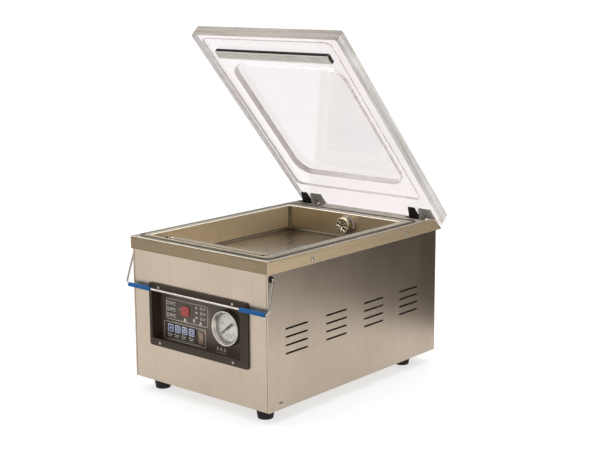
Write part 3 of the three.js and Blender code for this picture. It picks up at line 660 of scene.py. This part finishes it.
def rounded_box(x0, x1, z0, z1, radius):
    """The outline of a box with rounded corners."""
    steps = 4
    points = []
    for x, z, turn in ((x1 - radius, z0 + radius, -90), (x1 - radius, z1 - radius, 0),
                       (x0 + radius, z1 - radius, 90), (x0 + radius, z0 + radius, 180)):
        for i in range(steps + 1):
            angle = math.radians(turn + 90 * i / steps)
            points.append((x + radius * math.cos(angle), z + radius * math.sin(angle)))
    return points


# ---------------------------------------------------------------- studio
CAMERA_PLACE = (1.41938, -1.62887, 0.70386)
CAMERA_AZIMUTH, CAMERA_ELEVATION, CAMERA_ROLL = (math.radians(angle) for angle in (40.67, 11.286, -0.275))
CARD_TONE = (0.028, 0.022, 0.018)


def place_in_scene(thing):
    """Links an object of the studio."""
    bpy.context.scene.collection.objects.link(thing)
    return thing


def look_camera():
    """The camera: place, bearing, height and a slight roll."""
    back = Vector((math.sin(CAMERA_AZIMUTH) * math.cos(CAMERA_ELEVATION),
                   -math.cos(CAMERA_AZIMUTH) * math.cos(CAMERA_ELEVATION), math.sin(CAMERA_ELEVATION)))
    right = (-back).cross(Vector((0, 0, 1))).normalized()
    up = right.cross(-back)
    turned_right = math.cos(CAMERA_ROLL) * right + math.sin(CAMERA_ROLL) * up
    turned_up = -math.sin(CAMERA_ROLL) * right + math.cos(CAMERA_ROLL) * up
    rotation = Matrix((turned_right, turned_up, back)).transposed().to_4x4()
    lens = bpy.data.cameras.new("camera")
    lens.sensor_width = 36.0
    lens.lens = 74.5
    lens.clip_end = 60.0
    camera = place_in_scene(bpy.data.objects.new("camera", lens))
    camera.matrix_world = Matrix.Translation(CAMERA_PLACE) @ rotation
    bpy.context.scene.camera = camera


def make_floor():
    """A wide pale floor that glows a little, so that it stays plain."""
    shape = bmesh.new()
    bmesh.ops.create_circle(shape, cap_ends=True, radius=30.0, segments=96)
    mesh = bpy.data.meshes.new("floor")
    shape.to_mesh(mesh)
    shape.free()
    floor = place_in_scene(bpy.data.objects.new("floor", mesh))
    paper = Surface("floor_paper", specular=0.0, Emission_Strength=0.66)
    cloud = paper.noise((4.0, 4.0, 4.0), 3.0)
    paper.set("Emission Color", (1.0, 1.0, 1.0, 1.0))
    paper.colour(paper.mix(paper.ramp(cloud, 0.3, 0.7), (0.33, 0.327, 0.322), (0.336, 0.333, 0.328)))
    paper.rough(paper.ramp(cloud, 0.3, 0.7, 0.7, 0.8))
    mesh.materials.append(paper.material)


def make_world():
    """A soft light from above; plain white where the camera sees it, even through the lid."""
    world = bpy.data.worlds.new("studio")
    world.use_nodes = True
    nodes, links = world.node_tree.nodes, world.node_tree.links

    def blend(factor):
        """A colour mix driven by a factor: its two ends and its result."""
        node = nodes.new("ShaderNodeMix")
        node.data_type = "RGBA"
        links.new(factor, node.inputs["Factor"])
        ends = [socket for socket in node.inputs if socket.type == "RGBA"]
        return *ends, [socket for socket in node.outputs if socket.type == "RGBA"][0]

    split = nodes.new("ShaderNodeSeparateXYZ")
    links.new(nodes.new("ShaderNodeTexCoord").outputs["Generated"], split.inputs["Vector"])
    height = nodes.new("ShaderNodeMapRange")
    for socket, number in zip(("From Min", "From Max", "To Min", "To Max"), (-0.05, 0.7, 0.0, 1.0)):
        height.inputs[socket].default_value = number
    links.new(split.outputs["Z"], height.inputs["Value"])
    low, high, room = blend(height.outputs["Result"])
    low.default_value = (0.42, 0.40, 0.38, 1.0)
    high.default_value = (0.95, 0.95, 0.95, 1.0)
    path = nodes.new("ShaderNodeLightPath")
    seen = nodes.new("ShaderNodeMath")
    seen.operation = "MAXIMUM"
    links.new(path.outputs["Is Camera Ray"], seen.inputs[0])
    links.new(path.outputs["Is Transmission Ray"], seen.inputs[1])
    unseen, plain, shown = blend(seen.outputs["Value"])
    links.new(room, unseen)
    plain.default_value = (1.0, 1.0, 1.0, 1.0)
    background = nodes["Background"]
    links.new(shown, background.inputs["Color"])
    background.inputs["Strength"].default_value = 1.0
    bpy.context.scene.world = world


def softbox(name, place, target, size, watts):
    light = bpy.data.lights.new(name, "AREA")
    light.shape = "RECTANGLE"
    light.size, light.size_y = size
    light.energy = watts
    light.color = (1.0, 0.98, 0.95)
    lamp = place_in_scene(bpy.data.objects.new(name, light))
    aim = Vector(target) - Vector(place)
    lamp.matrix_world = Matrix.Translation(place) @ aim.to_track_quat("-Z", "Y").to_matrix().to_4x4()


def make_lights():
    """Two softboxes and a wide, soft sun."""
    softbox("key_light", (-1.4, -1.7, 1.9), (0, 0, 0.15), (1.6, 1.2), 20.0)
    softbox("top_light", (0.1, 0.3, 2.3), (0, 0, 0.2), (1.8, 1.8), 12.0)
    sky = bpy.data.lights.new("sky_light", "SUN")
    sky.energy = 1.6
    sky.angle = math.radians(70)
    lamp = place_in_scene(bpy.data.objects.new("sky_light", sky))
    lamp.matrix_world = Vector((0.25, -0.35, -1.0)).to_track_quat("-Z", "Y").to_matrix().to_4x4()


def dark_card(name, corners):
    """A card beside or behind the machine that only its shiny surfaces see."""
    mesh = bpy.data.meshes.new(name)
    mesh.from_pydata(corners, [], [(0, 1, 2, 3)])
    card = place_in_scene(bpy.data.objects.new(name, mesh))
    surface = Surface(name + "_card", specular=0.0)
    cloud = surface.noise((3.0, 3.0, 3.0), 2.0)
    surface.colour(surface.mix(surface.ramp(cloud, 0.3, 0.7), CARD_TONE, tuple(c * 0.8 for c in CARD_TONE)))
    mesh.materials.append(surface.material)
    card.visible_camera = False
    card.visible_diffuse = False
    card.visible_shadow = False
    card.visible_transmission = False


look_camera()
make_floor()
make_world()
make_lights()
dark_card("side_flag", [(0.20, 0.41, 0.002), (1.60, 0.20, 0.002), (3.4, 3.4, 0.002), (0.20, 3.4, 0.002)])
dark_card("back_flag", [(0.10, 2.40, 0.0), (3.20, 0.60, 0.0), (3.20, 0.60, 2.2), (0.10, 2.40, 2.2)])
bpy.context.scene.view_settings.view_transform = "Standard"


# ---------------------------------------------------------------- case, cover and chamber
def paint_faces(piece, material, test):
    """Gives the faces that pass the test a second material."""
    piece.data.materials.append(MATERIALS[material])
    index = len(piece.data.materials) - 1
    for polygon in piece.data.polygons:
        if test(case_mm(polygon.center), polygon.normal):
            polygon.material_index = index


def weigh_edges(piece, width, fine, test):
    """Rounds the edges that pass the test by a width in mm, the other sharp ones less, all in a pale steel
    that paints a highlight along the bends.
    """
    piece.data.materials.append(MATERIALS["bend_steel"])
    shape = bmesh.new()
    shape.from_mesh(piece.data)
    weight = shape.edges.layers.float.new("bevel_weight_edge")
    for edge in shape.edges:
        if len(edge.link_faces) == 2 and edge.calc_face_angle() > SHARP:
            ends = [case_mm(vertex.co) for vertex in edge.verts]
            edge[weight] = 1.0 if all(test(end) for end in ends) else fine / width
    shape.to_mesh(piece.data)
    shape.free()
    bevel = piece.modifiers["edges"]
    bevel.limit_method = "WEIGHT"
    bevel.use_clamp_overlap = False
    bevel.width = width * MM
    bevel.material = len(piece.data.materials) - 1


def in_chamber_seam(centre, normal):
    """The tight bends at the foot of the chamber's walls, which get painted shade."""
    return 0.15 < normal.z < 0.9 and centre.z < SEAM_TOP


def make_case():
    """The folded case, its cover, the chamber, and their feet and screws."""
    for node in ("base_tray", "front_panel", "side_panel_left", "side_panel_right", "rear_panel"):
        refine(node, 0.35)
    cover = refine("top_cover", 0.5, "cover_steel", 3)
    # painted shade: the cover's forward faces get the darker front steel
    paint_faces(cover, "cover_front_steel", lambda centre, normal: normal.y < -0.7 and centre.y < 0)
    # painted shade: the cover's upward faces get the darker top steel
    paint_faces(cover, "cover_top_steel", lambda centre, normal: normal.z > 0.8)
    # painted highlight: the cover's outer top bends get the pale bend steel
    weigh_edges(cover, 1.4, 0.25,
                lambda end: end.z > COVER_TOP and (abs(end.x) > COVER_SIDE or end.y < -2.2))
    chamber = refine("chamber", 0.5, segments=3)
    # painted shade: the chamber's floor faces get the darker floor steel
    paint_faces(chamber, "chamber_floor_steel",
                lambda centre, normal: normal.z > 0.8 and centre.z < CHAMBER_FLOOR)
    # painted shade: the chamber's rear wall gets the darker back steel
    paint_faces(chamber, "chamber_back_steel",
                lambda centre, normal: normal.y < -0.7 and centre.y > CHAMBER_REAR)
    # painted shade: the chamber's rounded rear corners get the dark corner steel
    paint_faces(chamber, "corner_steel",
                lambda centre, normal: abs(normal.z) < 0.3 and abs(normal.x) > 0.15
                and normal.y < -0.15 and centre.y > CHAMBER_REAR)
    # painted shade: the chamber flange's top gets the darker top steel
    paint_faces(chamber, "cover_top_steel",
                lambda centre, normal: normal.z > 0.8 and centre.z > DECK_LEVEL)
    # painted shade: the bends at the foot of the chamber's walls get the dark seam steel
    paint_faces(chamber, "seam_steel", in_chamber_seam)
    # painted highlight: the edges round the chamber's mouth get the pale bend steel
    weigh_edges(chamber, 1.1, 0.2,
                lambda end: end.z > MOUTH_TOP and abs(end.x) < MOUTH_SIDE
                and MOUTH_FRONT < end.y < MOUTH_REAR)
    refine("chamber_gasket", 1.2, "gasket_grey", segments=3)
    refine("power_inlet", 0.4)
    for side, word in ((-1, "left"), (1, "right")):
        for y, z in ((105.0, 257.0), (366.0, 257.0)):
            # painted shadow: a dark washer ring under each cover screw stands in for the screw's shadow
            profile = [(0.0, 0.0), (4.1, 0.0), (4.2, 0.2), (4.0, 0.45), (0.0, 0.45)]
            turned(f"cover_washer_{word}_{int(y)}", profile, (side * 158.3, y, z), (side, 0, 0),
                   "case", "mark_grey", 32)
            screw(f"cover_screw_{word}_{int(y)}", (side * 158.7, y, z), (side, 0, 0), "case", 2.9, 1.6)
        for end, y in (("front", 30), ("rear", 406)):
            profile = [(0.0, 0.0), (4.0, 0.0), (5.0, 0.8), (8.6, 0.8), (9.4, 0.0), (11.9, 0.0), (12.7, 0.4),
                       (13.0, 1.3), (14.4, 10.0), (16.1, 19.5), (16.4, 21.0), (16.0, 21.5), (0.0, 21.6)]
            foot = turned(f"rubber_foot_{end}_{word}", profile, (side * FOOT_X, y, 0), (0, 0, 1), "case",
                          "black_rubber", 48)
            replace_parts(foot, f"foot_{end}_{word}")
    box_piece("side_slot_mark", (155.9, 25.0, 31.6), (156.4, 33.0, 34.4), "case", "mark_grey", 0.15)
    for x in (-140.0, 0.0, 140.0):
        for z in (34.0, 240.0):
            screw(f"rear_screw_{int(x)}_{int(z)}", (x, CASE_BACK, z), (0, 1, 0), "case", 2.8, 1.4)
    for x in (-114.5, -85.5):
        screw(f"inlet_screw_{int(x)}", (x, 463.0, 56.0), (0, 1, 0), "case", 1.6, 0.8)


def make_port():
    """The flanged suction port with its drilled cap and a dark screen behind the holes."""
    refine("port_flange", 0.3, "zinc_steel")
    profile = [(0.0, 0.0), (13.6, 0.0), (14.6, 0.25), (15.3, 0.9), (15.5, 1.9), (15.5, 13.3), (14.1, 13.4),
               (14.1, 2.4), (13.0, 1.6), (0.0, 1.6)]
    x, y, z = PORT_CENTRE
    cap = turned("port_cap_drilled", profile, PORT_CENTRE, (0, 1, 0), "case", "port_steel", 48)
    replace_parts(cap, "port_cap")
    holes = bmesh.new()
    for count, radius, turn in ((1, 0.0, 0.0), (5, 5.6, 0.3), (9, 11.0, 0.0)):
        for i in range(count):
            angle = turn + math.tau * i / count
            place = Matrix.Translation(at(x + radius * math.cos(angle), y, z + radius * math.sin(angle)))
            bmesh.ops.create_cone(holes, cap_ends=True, radius1=1.95 * MM, radius2=1.95 * MM, depth=5 * MM,
                                  segments=16, matrix=place @ Matrix.Rotation(math.pi / 2, 4, "X"))
    cut_out(cap, holes)
    turned("port_screen", [(0.0, 0.0), (13.6, 0.0), (13.6, 0.5), (0.0, 0.5)], (x, y + 2.0, z),
           (0, 1, 0), "case", "black_rubber", 36)
    for x, z in ((-7.2, 257.0), (26.2, 247.0)):
        screw(f"port_screw_{int(z)}", (x, 379.6, z), (0, -1, 0), "case", 2.2, 1.3, "brass")


def make_seal_bar():
    """The lifting seal bar with its cloth, strip and terminals."""
    refine("seal_bar", 0.5)
    refine("seal_bar_pad", 0.4)
    refine("heating_element", 0.15)
    refine("seal_tape", 0.6, segments=3)
    for side, word in ((-1, "left"), (1, "right")):
        refine(f"seal_terminal_{word}", 0.5)
        refine(f"lift_rod_{word}", 0.5)
        refine(f"lift_cylinder_{word}", 0.4)
        screw(f"seal_screw_{word}", (side * TERMINAL_X, 52.5, 264.0), (0, 0, 1), "seal_bar", 3.9, 2.2)


def make_lid():
    """The clear lid, with milky edges and steps, painted shade on its front edge and roof panel, and its
    pressure bar.
    """
    lid = refine("lid", 0.7)
    for material in ("acrylic_edge", "acrylic_front_edge", "acrylic_step", "acrylic_panel"):
        lid.data.materials.append(MATERIALS[material])
    shut, back = LID_OPEN.inverted(), LID_OPEN.to_3x3().inverted()
    edge_slot, front_edge_shade_slot, step_slot, roof_shade_slot = 1, 2, 3, 4
    for polygon in lid.data.polygons:
        normal = back @ polygon.normal
        centre = case_mm(shut @ polygon.center)
        outer = abs(normal.z) < 0.5 and (abs(centre.x) > LID_SIDE
                                         or not LID_FRONT <= centre.y <= LID_REAR)
        polygon.material_index = 0
        if outer:
            # painted shade: the forward-facing edge gets the darker edge acrylic
            polygon.material_index = front_edge_shade_slot if normal.y < -0.5 else edge_slot
        elif normal.z < -0.9 and centre.z > DOME_ROOF:
            # painted shade: the roof panel under the dome gets the darker acrylic
            polygon.material_index = roof_shade_slot
        elif abs(normal.z) < 0.85:
            polygon.material_index = step_slot
    refine("pressure_bar", 0.6, "bar_grey")
    refine("pressure_pad", 0.8, "pale_silicone")
    box_piece("pressure_bar_strip", (-127.4, 41.5, 271.2), (127.4, 42.1, 277.2), "lid", "black_rubber", 0.15,
              LID_OPEN)
    for side, word in ((-1, "left"), (1, "right")):
        low, high = sorted((side * 127.8, side * 129.0))
        box_piece(f"pressure_bar_cap_{word}", (low, 42.4, 271.0), (high, 59.6, 277.2), "lid", "black_plastic",
                  0.4, LID_OPEN)


def make_hinges():
    """Both hinges, with the two screws that hold each leaf to the lid."""
    for x, word in ((-HINGE_X, "left"), (HINGE_X, "right")):
        refine(f"hinge_arm_{word}", 0.9, "hinge_steel", 3)
        refine(f"hinge_stop_{word}", 0.7)
        refine(f"hinge_bracket_{word}", 0.4)
        refine(f"hinge_pin_{word}", 0.3, "zinc_steel")
        for step in (8.5, 18.5):
            screw(f"hinge_screw_{word}_{int(step)}", (x + step, 450.5, 273.0), (0, 0, -1), "lid", 2.4, 1.0,
                  matrix=LID_OPEN)


def make_bail():
    """The wire handle, its blue sleeves and the bushes where it enters the case."""
    low = (-9.0, 187.0)
    high = (7.0, 241.0)
    corners = [(-149, *high), (-161, *high), (-165, *low), (165, *low), (161, *high), (149, *high)]
    points = [corners[0]]
    for index, radius in zip(range(1, 5), (3, 8, 8, 3)):
        points += rounded_corner(corners[index - 1], corners[index], corners[index + 1], radius)
    points.append(corners[-1])
    wire = swept("bail_wire_fine", points, WIRE_RADIUS, "bail", "bail_steel")
    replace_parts(wire, "bail_wire")
    for side, word in ((-1, "left"), (1, "right")):
        profile = [(2.1, 104.0), (3.2, 104.0), (3.6, 104.3), (3.8, 105.0), (3.85, 131.0), (3.8, 157.0),
                   (3.6, 157.7), (3.2, 158.0), (2.1, 158.0), (2.1, 104.0)]
        sleeve = turned(f"bail_grip_{word}", profile, (0, *low), (side, 0, 0), "bail", "blue_plastic", 32)
        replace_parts(sleeve, f"bail_sleeve_{word}")
        profile = [(2.3, 152.5), (3.7, 152.5), (3.7, 156.3), (5.1, 156.3), (5.4, 156.6), (5.35, 156.9),
                   (5.1, 157.4), (4.8, 157.6), (2.6, 157.7), (2.3, 157.4), (2.3, 152.5)]
        grommet = turned(f"bail_bush_{word}", profile, (0, *high), (side, 0, 0),
                         "case", "black_rubber", 36)
        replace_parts(grommet, f"bail_grommet_{word}")


def make_controls():
    """The control panel, its keys and the vacuum gauge."""
    refine("control_bezel", 0.8, segments=3)
    refine("control_plate", 0.2)
    refine("display_window", 0.4)
    for node in ("key_1", "key_2", "key_3", "key_4", "set_key"):
        refine(node, 0.6, segments=3)
    refine("gauge_case", 0.4, "gauge_steel", segments=3)
    refine("gauge_dial", 0.3)
    refine("gauge_glass", 0.3)
    for x, word in ((-91.0, "left"), (81.0, "right")):
        for z in (92.5, 190.0):
            screw(f"bezel_screw_{word}_{int(z)}", (x, -3.0, z), (0, -1, 0), "case", 2.4, 1.1, "zinc_steel")
    print_plate()
    print_keys()
    print_dial()


def print_plate():
    """Outlines, small generic pictures and lamp marks on the recessed plate."""
    lines = Print("plate_outlines", PLATE_FACE, "panel_print")
    lines.frame(-98.0, 3.0, 131.0, 168.0, 3.0, 1.5)
    lines.frame(-104.0, -3.0, 94.0, 127.0, 3.0, 1.5)
    lines.frame(-20.0, -4.8, 100.5, 124.0, 2.2, 1.2)
    lines.bar(-94.0, -8.0, 97.0, 97.8)
    lines.line((5.5, 128.0), (6.5, 178.0), 0.6)
    lines.bar(22.0, 43.0, 93.6, 94.6)
    lines.done()

    marks = Print("plate_marks", PLATE_FACE, "white_print")
    for x in (25.0, 33.0, 41.0):
        marks.bar(x - 2.6, x + 2.6, 97.6, 98.9)
        marks.bar(x - 0.7, x + 0.7, 97.0, 103.0)
        marks.bar(x - 2.2, x + 2.2, 100.8, 102.0)
    for z in (160.0, 149.5, 139.0):
        marks.frame(-96.4, -90.0, z - 2.6, z + 2.8, 0.8, 1.0)
        marks.bar(-96.4, -90.0, z - 3.9, z - 3.2)
        marks.ring(-85.0, z, 3.2, 0.9)
        marks.dot(-85.0, z, 0.9, 10)
        marks.bar(-80.2, -74.6, z + 1.4, z + 2.5)
        marks.bar(-80.2, -76.0, z - 0.9, z + 0.2)
        marks.bar(-80.2, -74.6, z - 3.3, z - 2.5)
    for z in (161.6, 153.0, 144.0):
        marks.ring(-13.0, z, 2.4, 0.8)
        marks.bar(-8.5, -2.5, z + 0.9, z + 1.7)
        marks.bar(-8.5, -4.0, z - 1.4, z - 0.6)
        marks.area([(-26.0, z - 2.2), (-20.5, z), (-26.0, z + 2.2)])
    marks.bar(-65.4, -63.6, 150.8, 153.4)
    for x, z in ((-52.0, 136.5), (-30.0, 139.5), (-15.0, 136.6)):
        marks.area([(x - 3.0, z - 2.4), (x + 3.0, z - 2.4), (x, z + 2.6)])
        marks.bar(x - 4.2, x + 4.2, z - 3.9, z - 3.2)
    for x in (-90.0, -73.0, -56.0, -38.0):
        marks.bar(x - 5.6, x - 1.2, 104.4, 106.6)
        marks.bar(x - 0.2, x + 5.4, 103.6, 105.4)
        marks.bar(x - 5.0, x + 1.8, 100.8, 102.4)
        marks.bar(x + 2.8, x + 5.0, 100.6, 101.8)
    marks.done()

    figures = Print("display_figures", DISPLAY_FACE, "digit_red", high=0.12)
    for x, strokes in ((-57.0, "abcdef"), (-48.6, "abged")):
        figures.digit(x, 146.4, 4.6, 9.6, strokes, 1.1)
    figures.done()


def print_keys():
    """An outline and a simple sign on each key."""
    for index, x in enumerate((-84.5, -67.7, -50.9, -34.1)):
        sign = Print(f"key_{index + 1}_sign", KEY_FACE, "key_ink", f"key_{index + 1}", 0.12)
        sign.frame(x - 6.4, x + 6.4, 110.6, 123.4, 1.6, 1.3)
        if index == 0:
            sign.bar(x - 0.7, x + 0.7, 113.4, 120.4)
            sign.bar(x - 3.0, x + 3.0, 116.3, 117.6)
        elif index == 1:
            sign.ring(x, 117.0, 3.6, 1.3)
        elif index == 2:
            sign.ring(x, 117.0, 3.4, 1.2)
            sign.bar(x - 0.6, x + 0.6, 117.0, 122.0)
        else:
            sign.frame(x - 3.4, x + 3.4, 113.8, 120.2, 1.2, 1.2)
        sign.done()
    sign = Print("set_key_sign", KEY_FACE, "panel_print", "set_key", 0.12)
    sign.frame(-16.9, -7.1, 104.6, 120.4, 1.6, 0.8)
    sign.ring(-12.0, 114.0, 2.8, 0.9)
    sign.bar(-12.5, -11.5, 107.0, 111.2)
    sign.done()


def on_dial(share, radius):
    """A point of the dial at a share of the scale and a distance from its middle."""
    angle = math.radians(SCALE_START - SCALE_SWEEP * share)
    return DIAL_X + radius * math.cos(angle), DIAL_Z + radius * math.sin(angle)


def print_dial():
    """Scale marks and figures on the dial, and a slim pointer."""
    scale = Print("dial_scale", DIAL_FACE, "dial_ink", high=0.08)
    for i in range(51):
        inner, width = (17.6, 0.55) if i % 5 == 0 else (19.2, 0.28)
        scale.line(on_dial(i / 50, inner), on_dial(i / 50, 21.0), width)
    scale.bar(DIAL_X - 5.0, DIAL_X + 5.0, DIAL_Z - 12.8, DIAL_Z - 11.8)
    for x in (-6.0, 0.0, 6.0):
        scale.dot(DIAL_X + x, DIAL_Z - 16.4 + abs(x) * 0.2, 1.1, 12)
    scale.done()
    strokes = ("abcdef", "abged", "fgbc", "afgedc", "abcdefg")
    figures = Print("dial_figures", DIAL_FACE, "dial_ink", high=0.08)
    for i, shape in enumerate(strokes):
        x, z = on_dial(i / 4, 14.3)
        figures.digit(x - 1.0, z - 1.8, 2.2, 4.0, shape, 0.7)
    figures.done()

    direction = Vector((26.0, 20.5)).normalized()
    across = Vector((-direction.y, direction.x))
    middle = Vector((DIAL_X, DIAL_Z))
    outline = [middle - direction * 19.5 - across * 0.8, middle - direction * 2.0 - across * 1.3,
               middle + direction * 10.0 - across * 1.9, middle + direction * 14.0,
               middle + direction * 10.0 + across * 1.9, middle - direction * 2.0 + across * 1.3,
               middle - direction * 19.5 + across * 0.8]
    pointer = Print("gauge_pointer", NEEDLE_FACE, "dial_ink", "gauge_needle", 0.4)
    pointer.area([tuple(point) for point in outline])
    pointer.dot(DIAL_X, DIAL_Z, 2.2, 20)
    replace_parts(pointer.done(), "gauge_needle")


def make_inside():
    """The machinery that the case hides."""
    for node in ("pump_motor", "vacuum_pump", "transformer", "solenoid_valve", "control_board",
                 "vacuum_hose"):
        refine(node, 0.8)


make_case()
make_port()
make_seal_bar()
make_lid()
make_hinges()
make_bail()
make_controls()
make_inside()
